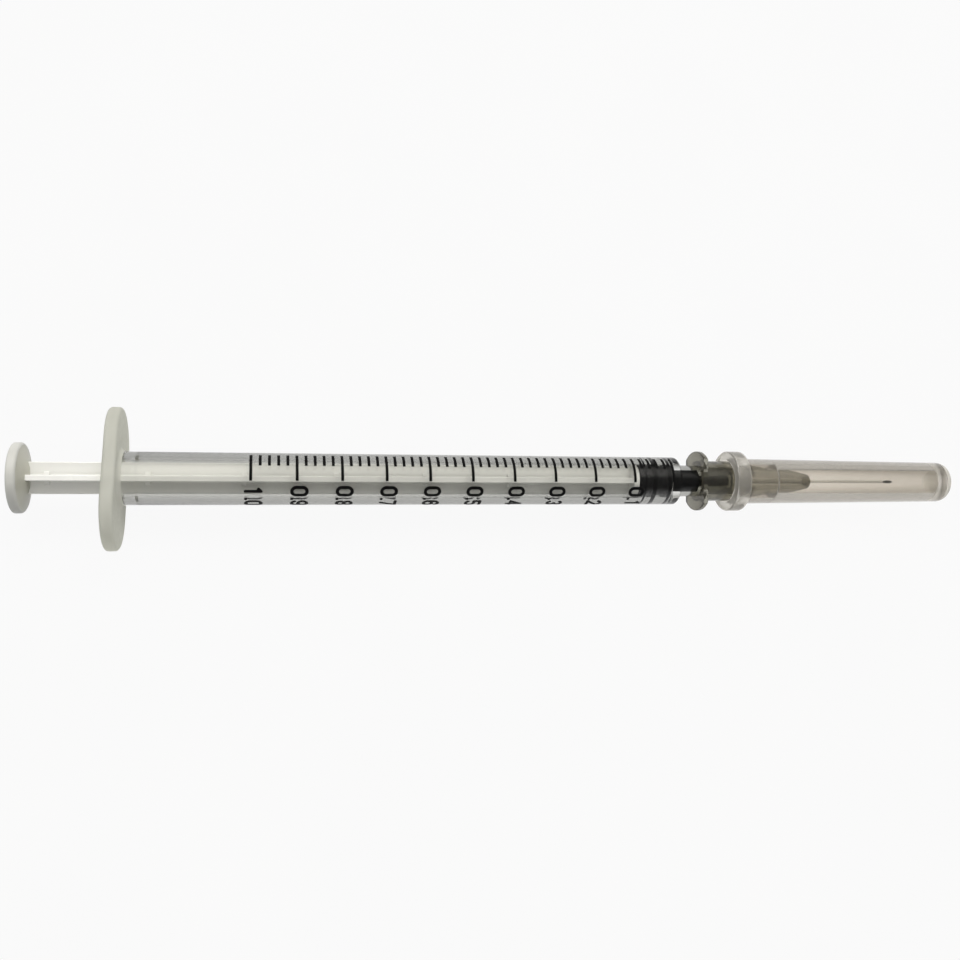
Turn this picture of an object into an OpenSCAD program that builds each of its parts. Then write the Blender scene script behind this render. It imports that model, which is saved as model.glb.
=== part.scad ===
// A one millilitre tuberculin syringe with a low dead space nozzle, a fine
// needle and its cap. It lies along X with the needle at +X, and the finger
// flange's two flat sides face up and down. The origin is on the axis, halfway
// along the barrel tube. Every piece is built along Z from the flange's front
// face and then laid down.

/* [Barrel] */
// Inside diameter of the barrel tube
bore_d = 4.78; // [4.6:0.01:5]
// Wall thickness of the barrel tube
barrel_wall = 0.89; // [0.75:0.01:1.2]
// Distance from the flange's front face to the full-scale line
lead_len = 15.35; // [12:0.05:20]
// Distance from the zero line to the full-scale line
scale_len = 55.72; // [50:0.01:60]
// Thickness of the wall that closes the barrel's front end
end_wall = 1.2; // [0.9:0.05:1.6]
// Radius on the barrel's front edge
front_edge_r = 0.35; // [0.2:0.05:0.5]
// How far the bore opens out, all round, at the rear mouth
mouth_flare = 0.45; // [0.3:0.05:0.7]
// Length of the flared mouth, from the flange's rear face
mouth_len = 2.75; // [2.5:0.05:4]
// Height of the bead that keeps the piston in the bore
bead_h = 0.08; // [0.06:0.01:0.14]
// Width of that bead's crest
bead_w = 0.3; // [0.2:0.05:0.5]

/* [Finger flange] */
// Length of the finger flange, across the barrel
flange_len = 18.1; // [16:0.1:22]
// Width between the flange's two flat sides
flange_wid = 10.3; // [9:0.1:12]
// Thickness of the flange
flange_t = 1.55; // [1.4:0.05:2.4]
// Radius on the flange's edges
flange_edge_r = 0.45; // [0.2:0.05:0.6]
// Radius where the flange meets the barrel
flange_root_r = 0.5; // [0.2:0.05:0.8]

/* [Nozzle] */
// Length of the nozzle, from the barrel's front face to its tip
nozzle_len = 7.95; // [7.5:0.05:9]
// Outside diameter of the nozzle at its tip
nozzle_tip_d = 3.95; // [3.8:0.01:4.1]
// Taper of the nozzle: growth of its radius over length
nozzle_taper_share = 0.03; // [0.025:0.005:0.035]
// Diameter of the bore through the nozzle
nozzle_bore_d = 1.86; // [1.6:0.02:2.2]
// Bevel on the edge of the nozzle's tip
nozzle_bevel = 0.2; // [0.1:0.05:0.3]

/* [Scale print] */
// Divisions of the scale, from empty to full
divisions = 50; // [20:10:100]
// Divisions from one numbered line to the next
numbered_step = 5; // [5:5:10]
// Width of a scale line
line_w = 0.36; // [0.2:0.01:0.4]
// Thickness of the ink
ink_t = 0.03; // [0.02:0.01:0.05]
// Angle round the barrel, from the top, where every line starts
line_start_a = -42; // [-60:1:-20]
// Angle that a short line covers
short_line_a = 33; // [20:1:50]
// Angle that a numbered line covers
long_line_a = 67; // [52:1:72]
// Height of a numeral, along the barrel
digit_h = 2.26; // [1.8:0.02:2.4]
// Width of a numeral, round the barrel
digit_w = 1.48; // [1:0.02:1.5]
// Width of a numeral's stroke
stroke_w = 0.41; // [0.2:0.01:0.42]
// How far a numeral's middle lies ahead of its line
digit_lead = 0.3; // [0:0.05:0.6]
// Angle round the barrel, from the top, of a number's first digit
unit_digit_a = 49; // [45:1:52]
// Angle of the decimal point
point_a = 70; // [68:1:72]
// Angle of the digit after the point
tenth_digit_a = 88; // [86:1:96]

/* [Plunger rod] */
// Distance from the flange's rear face to the thumb rest's outer face
press_gap = 10.48; // [9:0.05:14]
// Diameter of the thumb rest
rest_d = 8.5; // [7:0.1:11]
// Thickness of the thumb rest at its rim
rest_t = 1.05; // [0.8:0.05:1.5]
// Radius on the thumb rest's rim
rest_edge_r = 0.45; // [0.1:0.05:0.5]
// Rise of the thumb rest's domed underside
rest_dome = 0.8; // [0.4:0.05:1.2]
// Width of the rod across two opposite ribs
rod_d = 3.85; // [3.4:0.05:4.2]
// Thickness of a rib
rod_rib_t = 0.72; // [0.5:0.02:1]
// Diameter of the stiffening discs between the ribs
web_d = 1.8; // [1.4:0.05:3.2]
// Thickness of a stiffening disc
web_t = 0.65; // [0.4:0.05:1]
// Distance from one stiffening disc to the next
web_pitch = 11.4; // [8:0.1:15]
// Distance from the thumb rest's outer face to the first stiffening disc
web_first = 3.7; // [3:0.1:6]
// Diameter of the disc that pushes the piston
seat_d = 4.3; // [3.9:0.05:4.4]
// Thickness of that disc
seat_t = 0.8; // [0.5:0.05:1.2]
// Diameter of the neck that holds the piston
neck_d = 1.7; // [1.4:0.05:1.9]
// Length of the neck
neck_len = 0.8; // [0.6:0.05:1]
// Diameter of the neck's barbed head
barb_d = 2.5; // [2.2:0.05:2.7]
// Length of the barbed head
barb_len = 1.1; // [0.8:0.05:1.2]
// Turn of the ribs about the axis
rod_turn = 21; // [0:1:90]

/* [Piston] */
// Length of the piston without its nose
piston_len = 4.5; // [4.2:0.05:5.5]
// Diameter of the piston between its sealing ribs
piston_core_d = 4.1; // [3.8:0.05:4.3]
// Width of the front sealing rib
front_rib_w = 0.45; // [0.3:0.05:0.6]
// Width of the middle sealing rib
mid_rib_w = 0.6; // [0.3:0.05:0.8]
// Width of the rear sealing rib
rear_rib_w = 0.3; // [0.2:0.05:0.4]
// Distance from the piston's front to the middle of the middle rib
mid_rib_at = 2.4; // [2:0.05:2.6]
// Distance from the piston's front to the middle of the rear rib
rear_rib_at = 3.75; // [3.4:0.05:3.9]
// How much thinner the nose is at its tip than at its root
nose_draft = 0.2; // [0:0.02:0.3]
// Distance from the nose's tip back to the nozzle's tip
nose_setback = 0.1; // [0:0.05:0.5]

/* [Needle hub] */
// Length of nozzle that the hub covers
luer_grip = 4.7; // [4:0.05:6]
// Depth of the hub's tapered socket
socket_depth = 7.5; // [7:0.05:8]
// Wall of the hub at its mouth
hub_wall = 0.64; // [0.5:0.01:0.8]
// Length of the hub's wide body
hub_body_len = 5.1; // [4.8:0.05:6]
// How much narrower, all round, the hub is after its body
hub_step = 0.44; // [0.3:0.01:0.5]
// Length from the hub's mouth to the start of its ribbed nose
hub_shank_len = 8; // [7.8:0.05:9]
// Length of the ribbed nose
hub_nose_len = 9.1; // [8.5:0.05:10]
// Diameter of the nose between its ribs, at the shank
nose_root_d = 2.7; // [2.4:0.05:3]
// Diameter of the nose at its tip
nose_tip_d = 1.9; // [1.7:0.05:2.1]
// Number of ribs on the nose
nose_ribs = 4; // [4:2:6]
// Thickness of a nose rib
nose_rib_t = 0.6; // [0.4:0.05:0.8]
// Width across the ribs where the cap grips them
grip_rib_d = 3.3; // [3.1:0.05:3.5]
// Length of the ribs' wide part
wide_rib_len = 3.4; // [2.5:0.05:4]
// Reach of a mouth lug beyond the hub's body
lug_reach = 1.34; // [1:0.02:1.5]
// Thickness of a mouth lug
lug_t = 0.65; // [0.5:0.05:1]
// Turn of the lugs about the axis, from the top
lug_turn = 111; // [0:1:180]
// Turn of the nose's ribs about the axis, from the top
nose_rib_turn = 21; // [0:1:90]

/* [Needle tube] */
// Outside diameter of the needle tube
tube_d = 0.41; // [0.36:0.01:0.5]
// Bore of the needle tube
tube_bore_d = 0.21; // [0.16:0.01:0.25]
// Length of tube in front of the hub's nose
tube_out = 14.2; // [10:0.1:14.5]
// Angle between the bevel and the tube
bevel_a = 12; // [11:1:20]
// Turn of the bevel about the axis, from the top
bevel_turn = 21; // [0:1:360]
// Depth of the adhesive's well in the hub's nose
well_depth = 1.3; // [0.8:0.05:2]
// Diameter of the adhesive at the hub's tip
well_d = 1.2; // [1:0.05:1.4]
// How far the adhesive climbs along the tube
bead_climb = 0.55; // [0.2:0.05:0.8]

/* [Needle cap] */
// Length of the cap
cap_len = 35.5; // [35:0.1:40]
// Distance from the hub's mouth to the cap's mouth
cap_gap = 4.6; // [4.4:0.05:4.9]
// Wall of the cap's collar
collar_wall = 1.32; // [1:0.02:1.5]
// Width of the collar
collar_w = 2.05; // [1.5:0.05:3]
// Radius on the collar's edges
collar_edge_r = 0.25; // [0.1:0.05:0.4]
// Wall of the cap's body next to the collar
cap_wall = 0.77; // [0.6:0.01:1]
// How much thinner the cap is at its closed end
cap_draft = 0.58; // [0.2:0.02:0.8]
// Thickness of the cap's closed end
cap_end_wall = 2.1; // [1:0.05:2.5]
// Radius on the closed end's edge
cap_end_r = 1.1; // [0.6:0.05:1.4]
// Length of the step between the cap's two bores
cap_step_len = 0.4; // [0.2:0.05:0.6]

/* [Fits] */
// Gap, all round, between the piston and the barrel
seal_fit = 0.03; // [0.02:0.01:0.05]
// Gap, all round, between the nozzle and the hub
luer_fit = 0.03; // [0.02:0.01:0.05]
// Gap between the plunger's barb and the piston
barb_fit = 0.07; // [0.04:0.01:0.08]
// Gap, all round, between the hub and the cap
cap_fit = 0.05; // [0.03:0.01:0.08]
// Gap, all round, between the needle tube and its hole in the hub
tube_fit = 0.02; // [0.01:0.01:0.03]
// Gap between the piston's front and the end of the bore
end_gap = 0.2; // [0.1:0.05:0.4]

/* [Hidden] */
$fn = 96;

// One overrun for every cut
over = 0.1;
// The top of the laid down syringe, as an angle round the axis while it stands
top_a = 180;

bore_r = bore_d / 2;
barrel_r = bore_r + barrel_wall;
flange_end_r = flange_wid / 2;
flange_run = flange_len - flange_wid;

// Stations along the axis, from the flange's front face
full_z = lead_len;
zero_z = full_z + scale_len;
bore_end_z = zero_z + end_gap;
front_z = bore_end_z + end_wall;
tip_z = front_z + nozzle_len;
mid_z = front_z / 2;
flange_rear_z = -flange_t;
mouth_end_z = flange_rear_z + mouth_len;
press_z = flange_rear_z - press_gap;
piston_rear_z = zero_z - piston_len;
nose_end_z = tip_z - nose_setback;
hub_z = tip_z - luer_grip;
hub_body_end_z = hub_z + hub_body_len;
socket_end_z = hub_z + socket_depth;
nose_z = hub_z + hub_shank_len;
nose_tip_z = nose_z + hub_nose_len;
point_z = nose_tip_z + tube_out;
cap_z = hub_z + cap_gap;
cap_end_z = cap_z + cap_len;

// Radius of the nozzle's cone at a station
function nozzle_r(z) = nozzle_tip_d / 2 + nozzle_taper_share * (tip_z - z);
// Radius of the hub's socket at a station
function socket_r(z) = nozzle_r(z) + luer_fit;

// The bore's flared mouth and its retaining bead
mouth_r = bore_r + mouth_flare;
throat_share = 0.12;
throat_r = bore_r + mouth_flare * throat_share;
bead_r = bore_r - bead_h;

// The piston and its nose
rib_r = bore_r - seal_fit;
core_r = piston_core_d / 2;
nose_r = nozzle_bore_d / 2 - seal_fit;
nose_end_r = nose_r - nose_draft / 2;
neck_hole_r = neck_d / 2 + barb_fit;
barb_hole_r = barb_d / 2 + barb_fit;
barb_tip_share = 0.7;

// The hub, whose body is as wide as its socket and wall make it
hub_r = socket_r(hub_z) + hub_wall;
shank_r = hub_r - hub_step;
lug_r = hub_r + lug_reach;
grip_rib_r = grip_rib_d / 2;
tube_hole_r = tube_d / 2 + tube_fit;
rib_lead_share = 0.35;

// The cap's bores, which take their sizes from the hub
cap_mouth_r = hub_r + cap_fit;
cap_mid_r = shank_r + cap_fit;
cap_bore_r = grip_rib_r + cap_fit;
cap_mid_z = hub_body_end_z + cap_fit;
cap_step_z = nose_z + wide_rib_len + cap_fit;
cap_bore_end_z = cap_end_z - cap_end_wall;
collar_r = cap_mouth_r + collar_wall;
cap_r = cap_mid_r + cap_wall;
cap_tip_r = cap_r - cap_draft / 2;

// Lays a piece that was built along Z down along X, about the origin
module laid() {
    rotate([0, 90, 0])
        translate([0, 0, -mid_z])
            children();
}

// One half of a section with a rounded rim, standing on the axis
module rim_section(r, t, edge) {
    square([r - edge, t]);
    translate([0, edge])
        square([r, t - 2 * edge]);
    for (y = [edge, t - edge])
        translate([r - edge, y])
            circle(edge);
}

// The finger flange, with round ends and flat sides
module finger_flange() {
    translate([0, 0, flange_rear_z]) {
        for (side = [-1, 1])
            translate([0, side * flange_run / 2, 0])
                rotate_extrude()
                    rim_section(flange_end_r, flange_t, flange_edge_r);
        rotate([90, 0, 0])
            linear_extrude(flange_run, center = true)
                for (side = [0, 1])
                    mirror([side, 0])
                        rim_section(flange_end_r, flange_t, flange_edge_r);
    }
}

// The outside of the tube, with its rounded front edge and its root fillet
module tube_outside() {
    rotate_extrude() {
        translate([0, flange_rear_z / 2])
            square([barrel_r, front_z - front_edge_r - flange_rear_z / 2]);
        square([barrel_r - front_edge_r, front_z]);
        translate([barrel_r - front_edge_r, front_z - front_edge_r])
            circle(front_edge_r);
        difference() {
            translate([bore_r + barrel_wall / 2, 0])
                square([barrel_wall / 2 + flange_root_r, flange_root_r]);
            translate([barrel_r + flange_root_r, flange_root_r])
                circle(flange_root_r);
        }
    }
}

// The tapered nozzle, with a bevelled tip
module nozzle() {
    rotate_extrude()
        polygon([
            [0, bore_end_z + end_wall / 2],
            [nozzle_r(bore_end_z + end_wall / 2), bore_end_z + end_wall / 2],
            [nozzle_r(tip_z - nozzle_bevel), tip_z - nozzle_bevel],
            [nozzle_r(tip_z) - nozzle_bevel, tip_z],
            [0, tip_z]
        ]);
}

// The space inside: flared mouth, bead, bore and nozzle bore
module bore_space() {
    rotate_extrude()
        polygon([
            [0, flange_rear_z - over],
            [mouth_r, flange_rear_z - over],
            [mouth_r, flange_rear_z],
            [throat_r, mouth_end_z],
            [bead_r, mouth_end_z + bead_w],
            [bead_r, mouth_end_z + 2 * bead_w],
            [bore_r, mouth_end_z + 3 * bead_w],
            [bore_r, bore_end_z],
            [nozzle_bore_d / 2, bore_end_z],
            [nozzle_bore_d / 2, tip_z + over],
            [0, tip_z + over]
        ]);
}

module barrel() {
    color([0.88, 0.89, 0.87, 0.5])
        laid()
            difference() {
                union() {
                    finger_flange();
                    tube_outside();
                    nozzle();
                }
                bore_space();
            }
}

// Station of a scale line, counted from the zero line
function line_z(i) = zero_z - scale_len * i / divisions;

module graduation_lines() {
    color([0.06, 0.06, 0.06])
        laid()
            for (i = [0 : divisions])
                rotate([0, 0, top_a + line_start_a])
                    translate([0, 0, line_z(i) - line_w / 2])
                        rotate_extrude(angle = i % numbered_step == 0 ? long_line_a : short_line_a)
                            translate([barrel_r, 0])
                                square([ink_t, line_w]);
}

// Numerals are drawn with strokes, X across and Y up, from their foot's middle
half_w = (digit_w - stroke_w) / 2;
low_y = stroke_w / 2;
high_y = digit_h - stroke_w / 2;
bowl_r = (digit_h - stroke_w) / 4;
arc_steps = 6;

// A straight stroke with round ends
module stroke(p, q) {
    way = q - p;
    translate(p)
        rotate(atan2(way.y, way.x))
            translate([0, -stroke_w / 2])
                square([norm(way), stroke_w]);
    for (end = [p, q])
        translate(end)
            circle(d = stroke_w);
}

// A curved stroke about a centre, from one angle round to another
module arc_stroke(centre, r, from_a, to_a) {
    translate(centre) {
        intersection() {
            difference() {
                circle(r + stroke_w / 2);
                circle(r - stroke_w / 2);
            }
            polygon(concat([[0, 0]], [
                for (i = [0 : arc_steps])
                    let (a = from_a + (to_a - from_a) * i / arc_steps)
                        2 * (r + stroke_w) * [cos(a), sin(a)]
            ]));
        }
        for (a = [from_a, to_a])
            rotate(a)
                translate([r, 0])
                    circle(d = stroke_w);
    }
}

// A closed round stroke
module ring_stroke(centre, r) {
    translate(centre)
        difference() {
            circle(r + stroke_w / 2);
            circle(r - stroke_w / 2);
        }
}

// Heights and places inside a numeral, as shares of its height and half width
flag_share = 0.78;
bar_share = 0.28;
stem_share = 0.35;
knee_share = 0.55;

module digit(n) {
    if (n == 0) {
        arc_stroke([0, high_y - half_w], half_w, 0, 180);
        arc_stroke([0, low_y + half_w], half_w, 180, 360);
        for (side = [-1, 1])
            stroke([side * half_w, low_y + half_w], [side * half_w, high_y - half_w]);
    }
    if (n == 1) {
        stroke([0, low_y], [0, high_y]);
        stroke([0, high_y], [-half_w * knee_share, digit_h * flag_share]);
    }
    if (n == 2) {
        arc_stroke([0, high_y - half_w], half_w, 0, 160);
        stroke([half_w, high_y - half_w], [-half_w, low_y]);
        stroke([-half_w, low_y], [half_w, low_y]);
    }
    if (n == 3) {
        arc_stroke([0, high_y - bowl_r], bowl_r, -90, 150);
        arc_stroke([0, low_y + bowl_r], bowl_r, -150, 90);
    }
    if (n == 4) {
        stroke([half_w * stem_share, low_y], [half_w * stem_share, high_y]);
        stroke([half_w * stem_share, high_y], [-half_w, digit_h * bar_share]);
        stroke([-half_w, digit_h * bar_share], [half_w, digit_h * bar_share]);
    }
    if (n == 5) {
        stroke([-half_w, high_y], [half_w, high_y]);
        stroke([-half_w, high_y], [-half_w, low_y + half_w * 2]);
        arc_stroke([0, low_y + half_w], half_w, -150, 90);
        stroke([-half_w, low_y + half_w * 2], [0, low_y + half_w * 2]);
    }
    if (n == 6) {
        ring_stroke([0, low_y + half_w], half_w);
        stroke([-half_w, low_y + half_w], [-half_w, high_y - half_w]);
        arc_stroke([0, high_y - half_w], half_w, 20, 180);
    }
    if (n == 7) {
        stroke([-half_w, high_y], [half_w, high_y]);
        stroke([half_w, high_y], [-half_w * stem_share, low_y]);
    }
    if (n == 8)
        for (y = [low_y + bowl_r, high_y - bowl_r])
            ring_stroke([0, y], bowl_r);
    if (n == 9)
        translate([0, digit_h])
            rotate(180)
                digit(6);
}

// Stands a flat drawing on the barrel at an angle from the top, feet at z,
// and keeps the thin skin of it that the ink makes
module printed(a, z) {
    intersection() {
        rotate([0, 0, top_a + a])
            translate([0, 0, z])
                rotate([90, 0, 90])
                    linear_extrude(barrel_r + ink_t + over)
                        children();
        difference() {
            translate([0, 0, z - digit_h])
                cylinder(r = barrel_r + ink_t, h = 3 * digit_h);
            translate([0, 0, z - digit_h - over])
                cylinder(r = barrel_r, h = 3 * digit_h + 2 * over);
        }
    }
}

module graduation_numerals() {
    color([0.06, 0.06, 0.06])
        laid()
            for (i = [numbered_step : numbered_step : divisions]) {
                tenths = round(10 * i / divisions);
                foot_z = line_z(i) + digit_lead - digit_h / 2;
                printed(unit_digit_a, foot_z)
                    digit(floor(tenths / 10));
                printed(point_a, foot_z)
                    translate([0, low_y])
                        circle(d = stroke_w);
                printed(tenth_digit_a, foot_z)
                    digit(tenths % 10);
            }
}

// The thumb rest: a flat outer face, a rounded rim and a domed underside
module thumb_rest() {
    rest_r = rest_d / 2;
    foot_r = rest_r - rest_edge_r;
    dome_r = (foot_r * foot_r + rest_dome * rest_dome) / (2 * rest_dome);
    translate([0, 0, press_z])
        rotate_extrude() {
            rim_section(rest_r, rest_t, rest_edge_r);
            intersection() {
                translate([0, rest_t + rest_dome - dome_r])
                    circle(dome_r);
                translate([0, rest_t / 2])
                    square([foot_r, rest_t + rest_dome]);
            }
        }
}

// Station of the face that pushes on the piston, and of the first rib end
seat_z = piston_rear_z - barb_fit;
rib_z = press_z + rest_t;

module plunger_rod() {
    color([0.9, 0.9, 0.88])
        laid() {
            thumb_rest();
            rotate([0, 0, top_a + rod_turn])
                for (turn = [0, 90])
                    rotate([0, 0, turn])
                        translate([-rod_d / 2, -rod_rib_t / 2, rib_z])
                            cube([rod_d, rod_rib_t, seat_z - seat_t / 2 - rib_z]);
            for (z = [press_z + web_first : web_pitch : seat_z - seat_t - web_pitch / 2])
                translate([0, 0, z - web_t / 2])
                    cylinder(d = web_d, h = web_t);
            translate([0, 0, seat_z - seat_t])
                cylinder(d = seat_d, h = seat_t);
            translate([0, 0, seat_z - seat_t / 2])
                cylinder(d = neck_d, h = neck_len + seat_t / 2 + barb_len / 2);
            translate([0, 0, seat_z + neck_len])
                cylinder(d1 = barb_d, d2 = barb_d * barb_tip_share, h = barb_len);
        }
}

// Where the sealing ribs start and end, from the piston's front
function rib_spans() = [
    [0, front_rib_w],
    [mid_rib_at - mid_rib_w / 2, mid_rib_at + mid_rib_w / 2],
    [rear_rib_at - rear_rib_w / 2, rear_rib_at + rear_rib_w / 2]
];

module piston() {
    barb_z = seat_z + neck_len - barb_fit;
    barb_end_z = seat_z + neck_len + barb_len + barb_fit;
    color([0.1, 0.1, 0.1])
        laid()
            difference() {
                union() {
                    translate([0, 0, piston_rear_z])
                        cylinder(r = core_r, h = piston_len);
                    for (span = rib_spans())
                        translate([0, 0, zero_z - span[1]])
                            cylinder(r = rib_r, h = span[1] - span[0]);
                    translate([0, 0, zero_z - front_rib_w])
                        cylinder(r = nose_r, h = front_rib_w + nozzle_bevel);
                    translate([0, 0, zero_z])
                        cylinder(r1 = nose_r, r2 = nose_end_r, h = nose_end_z - zero_z);
                }
                translate([0, 0, piston_rear_z - over])
                    cylinder(r = neck_hole_r, h = barb_z - piston_rear_z + 2 * over);
                translate([0, 0, barb_z])
                    cylinder(r = barb_hole_r, h = barb_end_z - barb_z);
            }
}

// The hub's turned outside: body, shank and tapered nose
module hub_outside() {
    rotate_extrude()
        polygon([
            [0, hub_z],
            [hub_r, hub_z],
            [hub_r, hub_body_end_z - hub_step / 2],
            [shank_r, hub_body_end_z],
            [shank_r, nose_z],
            [nose_root_d / 2, nose_z],
            [nose_tip_d / 2, nose_tip_z],
            [0, nose_tip_z]
        ]);
}

// The nose's ribs: wide in the cap's wide bore, then a fit in its narrow one
module hub_ribs() {
    wide_end_z = nose_z + wide_rib_len;
    lead_z = nose_tip_z - rib_lead_share * hub_nose_len;
    intersection() {
        for (i = [0 : nose_ribs / 2 - 1])
            rotate([0, 0, top_a + nose_rib_turn + 360 * i / nose_ribs])
                translate([-shank_r, -nose_rib_t / 2, nose_z - hub_step])
                    cube([2 * shank_r, nose_rib_t, hub_nose_len + hub_step]);
        rotate_extrude()
            polygon([
                [0, nose_z - hub_step],
                [shank_r, nose_z - hub_step],
                [shank_r, nose_z],
                [grip_rib_r, wide_end_z],
                [grip_rib_r, lead_z],
                [nose_tip_d / 2, nose_tip_z],
                [0, nose_tip_z]
            ]);
    }
}

// Two lugs at the mouth, cut flush with the hub's body
module hub_lugs() {
    intersection() {
        translate([0, 0, hub_z])
            cylinder(r = lug_r, h = lug_t);
        rotate([0, 0, top_a + lug_turn])
            translate([-lug_r, -hub_r, hub_z])
                cube([2 * lug_r, 2 * hub_r, lug_t]);
    }
}

module needle_hub() {
    color([0.55, 0.56, 0.52, 0.8])
        laid()
            difference() {
                union() {
                    hub_outside();
                    hub_ribs();
                    hub_lugs();
                }
                translate([0, 0, hub_z])
                    cylinder(r1 = socket_r(hub_z), r2 = socket_r(socket_end_z), h = socket_depth);
                translate([0, 0, hub_z - over])
                    cylinder(r = socket_r(hub_z), h = 2 * over);
                translate([0, 0, socket_end_z - over])
                    cylinder(r = tube_hole_r, h = nose_tip_z - socket_end_z + 2 * over);
                translate([0, 0, nose_tip_z - well_depth])
                    cylinder(r1 = tube_hole_r, r2 = well_d / 2, h = well_depth);
            }
}

module needle_tube() {
    tube_z = socket_end_z + tube_d;
    bevel_len = tube_d / tan(bevel_a);
    color([0.72, 0.73, 0.75])
        laid()
            difference() {
                translate([0, 0, tube_z])
                    cylinder(d = tube_d, h = point_z - tube_z);
                translate([0, 0, tube_z - over])
                    cylinder(d = tube_bore_d, h = point_z - tube_z + 2 * over);
                rotate([0, 0, top_a + bevel_turn])
                    translate([-tube_d / 2, -tube_d, point_z])
                        rotate([0, -bevel_a, 0])
                            translate([0, 0, -2 * bevel_len])
                                cube([tube_d * 2, tube_d * 2, 4 * bevel_len]);
            }
}

module needle_adhesive() {
    color([0.8, 0.8, 0.74])
        laid()
            difference() {
                union() {
                    translate([0, 0, nose_tip_z - well_depth])
                        cylinder(r1 = tube_hole_r, r2 = well_d / 2, h = well_depth);
                    translate([0, 0, nose_tip_z])
                        cylinder(r1 = well_d / 2, r2 = tube_hole_r, h = bead_climb);
                }
                translate([0, 0, nose_tip_z - well_depth - over])
                    cylinder(d = tube_d, h = well_depth + bead_climb + 2 * over);
            }
}

// The cap's outside: collar, tapered body and rounded closed end
module cap_outside() {
    rotate_extrude() {
        translate([0, cap_z])
            rim_section(collar_r, collar_w, collar_edge_r);
        polygon([
            [0, cap_z],
            [cap_r, cap_z],
            [cap_tip_r, cap_end_z - cap_end_r],
            [0, cap_end_z - cap_end_r]
        ]);
        translate([0, cap_bore_end_z])
            square([cap_tip_r - cap_end_r, cap_end_wall]);
        translate([cap_tip_r - cap_end_r, cap_end_z - cap_end_r])
            circle(cap_end_r);
    }
}

// The cap's stepped bore
module cap_space() {
    rotate_extrude()
        polygon([
            [0, cap_z - over],
            [cap_mouth_r, cap_z - over],
            [cap_mouth_r, cap_mid_z],
            [cap_mid_r, cap_mid_z + hub_step / 2],
            [cap_mid_r, cap_step_z],
            [cap_bore_r, cap_step_z + cap_step_len],
            [cap_bore_r, cap_bore_end_z],
            [0, cap_bore_end_z]
        ]);
}

module needle_cap() {
    color([0.9, 0.88, 0.84, 0.4])
        laid()
            difference() {
                cap_outside();
                cap_space();
            }
}

barrel();
graduation_lines();
graduation_numerals();
plunger_rod();
piston();
needle_hub();
needle_tube();
needle_adhesive();
needle_cap();
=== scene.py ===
"""The looks of a 1 mL tuberculin syringe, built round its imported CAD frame.

Stations along the syringe are in millimetres from the flange's front face, with
the needle towards +X. Angles round it run from the top, +Z, towards the camera, -Y.
"""

import math

import bmesh
import bpy
from mathutils import Matrix, Vector


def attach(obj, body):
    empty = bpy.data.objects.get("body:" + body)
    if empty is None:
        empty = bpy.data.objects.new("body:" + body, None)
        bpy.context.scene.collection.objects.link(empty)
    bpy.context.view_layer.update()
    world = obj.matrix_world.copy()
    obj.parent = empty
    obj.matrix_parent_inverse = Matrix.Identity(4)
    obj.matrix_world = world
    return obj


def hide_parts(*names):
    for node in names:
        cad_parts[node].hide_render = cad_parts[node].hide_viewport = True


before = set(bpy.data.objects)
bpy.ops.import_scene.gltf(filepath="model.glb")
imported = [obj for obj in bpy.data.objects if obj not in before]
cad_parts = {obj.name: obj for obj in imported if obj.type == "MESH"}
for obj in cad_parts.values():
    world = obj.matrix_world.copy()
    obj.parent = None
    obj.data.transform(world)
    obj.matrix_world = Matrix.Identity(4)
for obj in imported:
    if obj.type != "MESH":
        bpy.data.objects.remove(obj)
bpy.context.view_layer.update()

MM = 0.001
# Station of the frame's origin
MID = 36.235
# Quads round the piston and the cap. The barrel has twice as many, the rest fewer.
TURN = 192
# Edges that bend by more degrees than this stay sharp
SHARP = 32
# Corners closer than this, in mm, are welded after pieces are joined
WELD = 0.002

# Sizes in mm, close to the solids' own. A name in _R is a radius and one in _T a
# thickness. The others are stations, unless a comment says more.

# Barrel
BORE_R = 2.39
TUBE_R = 3.28
BORE_END = 71.27
FRONT = 72.47
TIP = 80.42
TIP_R = 1.975
CORE_R = 0.93
# What the nozzle's radius gains in each millimetre back from its tip
LUER_SLOPE = 0.03
# Where the outlines of the outside and the inside meet on the nozzle's end
SEAM_R = 1.2
# The bead that stops the piston, and the flared mouth behind it
BEAD_FOOT = 2.12
BEAD_FRONT = 1.75
BEAD_BACK = 1.45
BEAD_R = 2.33
THROAT = 0.9
THROAT_R = 2.46
MOUTH_R = 2.84
REAR_FACE_R = 3.4
# The flange has round ends, and a straight run between them, given by its half
FLANGE_T = 1.55
FLANGE_END_R = 5.15
FLANGE_HALF_RUN = 3.9
FLANGE_FACE_R = 4.66
# Roundings of the flange's edge and of the tube's root, and steps in the first
FLANGE_EDGE = 0.45
ROOT_FILLET = 0.67
EDGE_STEPS = 12
# The flange's own finish covers what is behind this station and outside this radius
FLANGE_LOOK_END = 0.45
FLANGE_LOOK_R = 2.95

# Plunger rod, a cross of ribs
PRESS = -12.03
RIB_END = 66.0
RIB_REACH_R = 1.925
# Half a rib's thickness, the cut at its tip, the fill at its root, and the cross's
# turn in degrees
RIB_HALF = 0.36
RIB_CUT = 0.08
RIB_ROOT = 0.18
RIB_TURN = 21.3
# The thumb rest, with lengths along the rod from its rear face
DISH = 0.08
DISH_R = 3.5
RING_R = 3.75
REST_R = 4.25
REST_T = 1.05
SLOPE = 1.15
SLOPE_R = 3.6
BOSS = 1.85
BOSS_R = 1.2
# Where the ribs start inside the rest, how far the rest's painted shade goes, and the
# radius where its rim's lighter painted shade takes over
RIB_SINK = 0.9
REST_LOOK = 2.0
REST_RIM_R = 3.95
# How deep the painted highlight on a rib's tip goes
RIB_HIGHLIGHT_DEPTH = 0.1
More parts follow.
